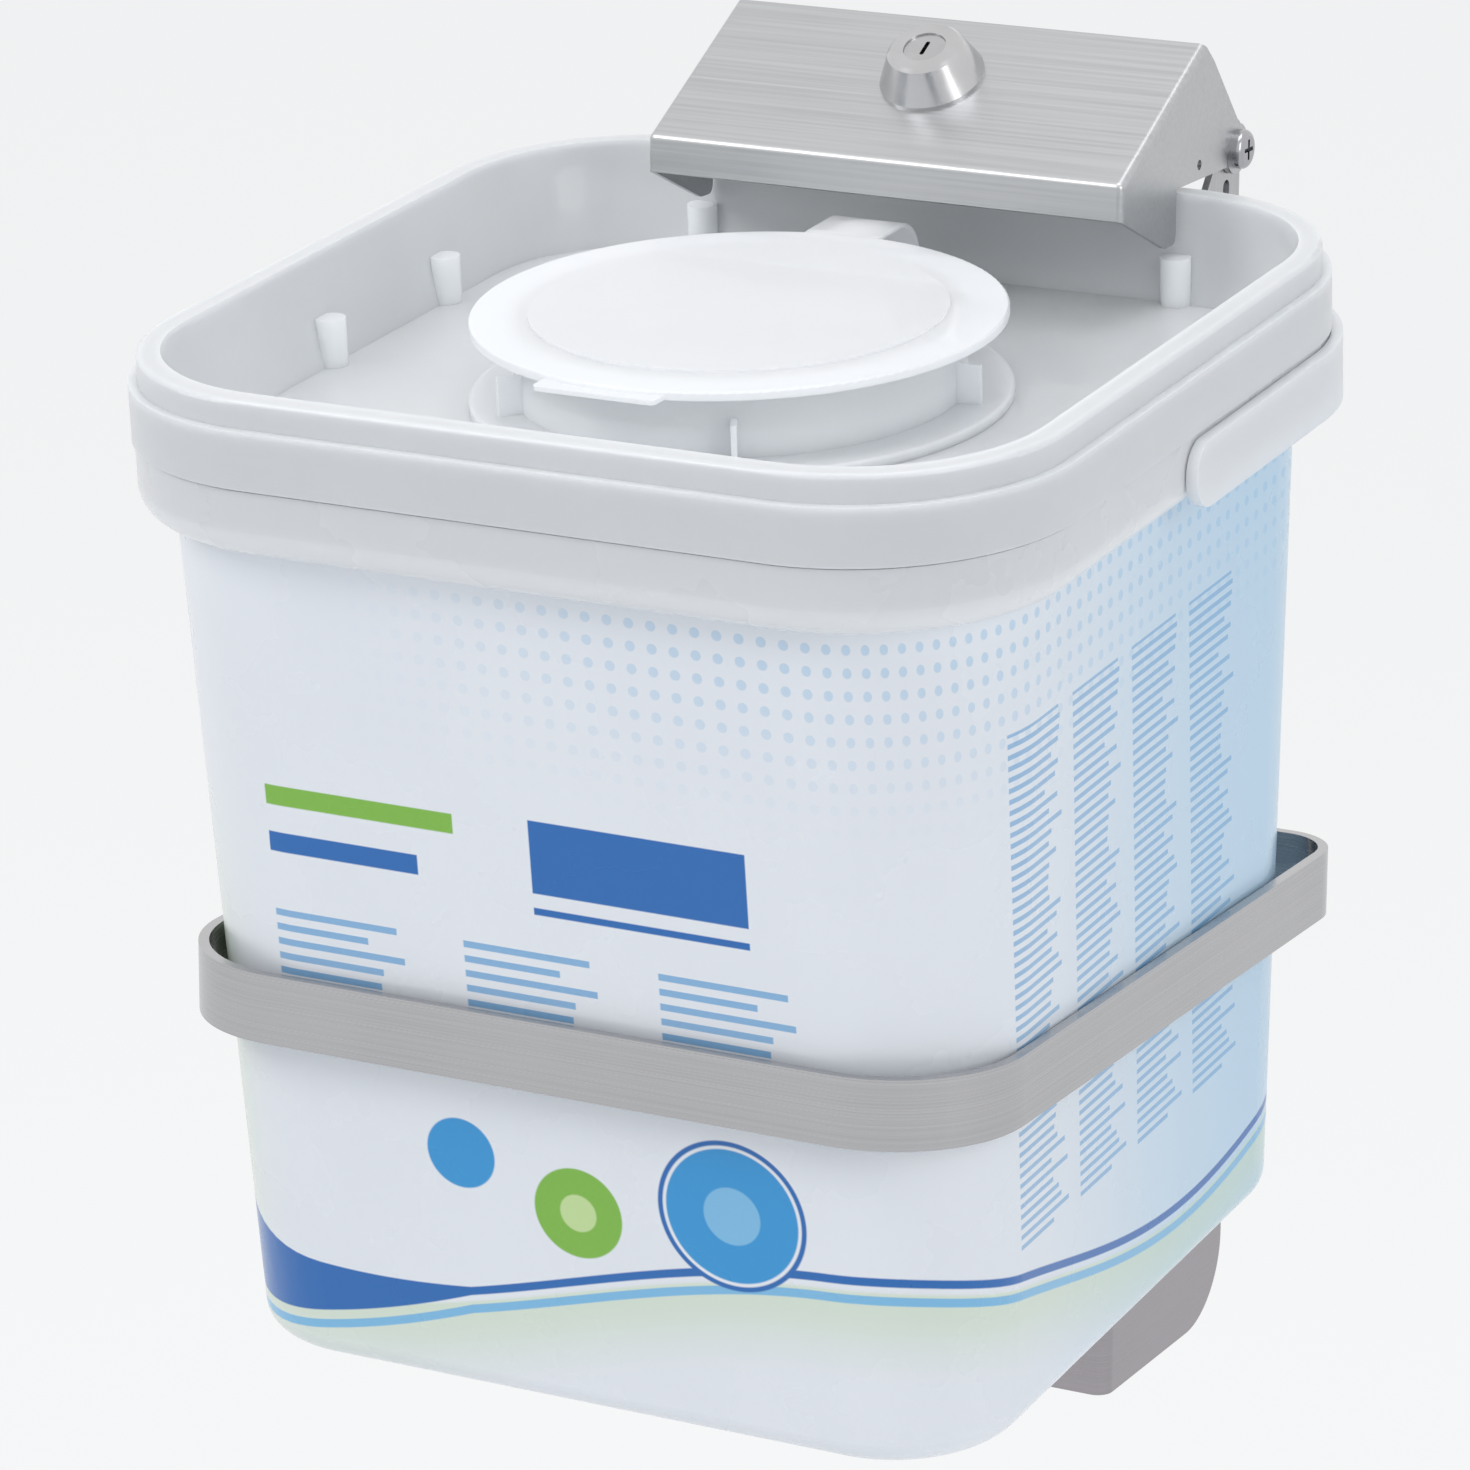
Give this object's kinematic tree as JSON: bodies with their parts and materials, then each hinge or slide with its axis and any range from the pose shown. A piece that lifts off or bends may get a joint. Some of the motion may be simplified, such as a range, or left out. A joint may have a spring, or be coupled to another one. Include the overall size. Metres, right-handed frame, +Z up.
{
  "type": "wall-mounted wipes holder",
  "caption": "Wall-mounted wipes holder: lockable steel bracket with ring band and hinged locking flap, holding a square plastic bucket with lid tray and hinged dispensing cap.",
  "frame": {"origin": "middle of the four wall holes, on the wall face of the bracket", "axes": "+Z up, the wall is behind at Y = 0 and the user stands in front at -Y, +X to the right seen from the wall's normal"},
  "size_m": [0.2846, 0.3165, 0.4024],
  "materials": {
    "bracket_steel": "satin brushed stainless sheet",
    "ring_steel": "polished-brushed stainless flat bar",
    "support_steel": "brushed stainless sheet",
    "keeper_steel": "brushed stainless sheet",
    "screw_steel": "bright stainless fasteners",
    "washer_steel": "stainless washer",
    "flap_steel": "satin brushed stainless sheet",
    "lock_chrome": "bright plated lock body",
    "plug_chrome": "bright plated plug",
    "cam_steel": "plated steel",
    "bucket_plastic": "translucent white polypropylene with printed label bands",
    "lid_plastic": "translucent white polypropylene",
    "seal_rubber": "soft elastomer",
    "neck_plastic": "white polypropylene",
    "membrane_plastic": "flexible white plastic",
    "cap_plastic": "white polypropylene",
    "handle_plastic": "white polypropylene",
    "wipes": "non-woven cloth"
  },
  "bodies": {
    "holder": {"wall_bracket": "bracket_steel", "ring_band": "ring_steel", "support_band": "support_steel", "shelf_plate": "support_steel", "lock_keeper": "keeper_steel", "hinge_screws": "screw_steel", "hinge_washers": "washer_steel", "hinge_nuts": "screw_steel", "bucket": "bucket_plastic", "lid_tray": "lid_plastic", "lid_seal": "seal_rubber", "dispensing_neck": "neck_plastic", "dispensing_membrane": "membrane_plastic", "cap_strap": "cap_plastic", "wipes_roll": "wipes", "wipe_tail": "wipes"},
    "flap": {"locking_flap": "flap_steel", "lock_housing": "lock_chrome", "lock_nut": "lock_chrome"},
    "lock": {"lock_plug": "plug_chrome", "lock_cam": "cam_steel", "cam_screw": "cam_steel"},
    "cap": {"cap": "cap_plastic"},
    "handle": {"bail_handle": "handle_plastic"}
  },
  "joints": [
    {"name": "flap_hinge", "type": "hinge", "parent": "holder", "child": "flap", "pos_m": [0, -0.009, 0.17281], "axis": [-1, 0, 0], "range_deg": [0, 45]},
    {"name": "lock_turn", "type": "hinge", "parent": "flap", "child": "lock", "pos_m": [0, -0.05727, 0.19497], "axis": [0, -0.4911, 0.8711], "range_deg": [0, 90]},
    {"name": "cap_hinge", "type": "hinge", "parent": "holder", "child": "cap", "pos_m": [0, -0.10009, 0.15552], "axis": [-1, 0, 0], "range_deg": [0, 90], "deforming": ["cap_strap"]},
    {"name": "handle_pivot", "type": "hinge", "parent": "holder", "child": "handle", "pos_m": [0, -0.17529, 0.12003], "axis": [-1, 0, 0], "range_deg": [0, 15]}
  ]
}
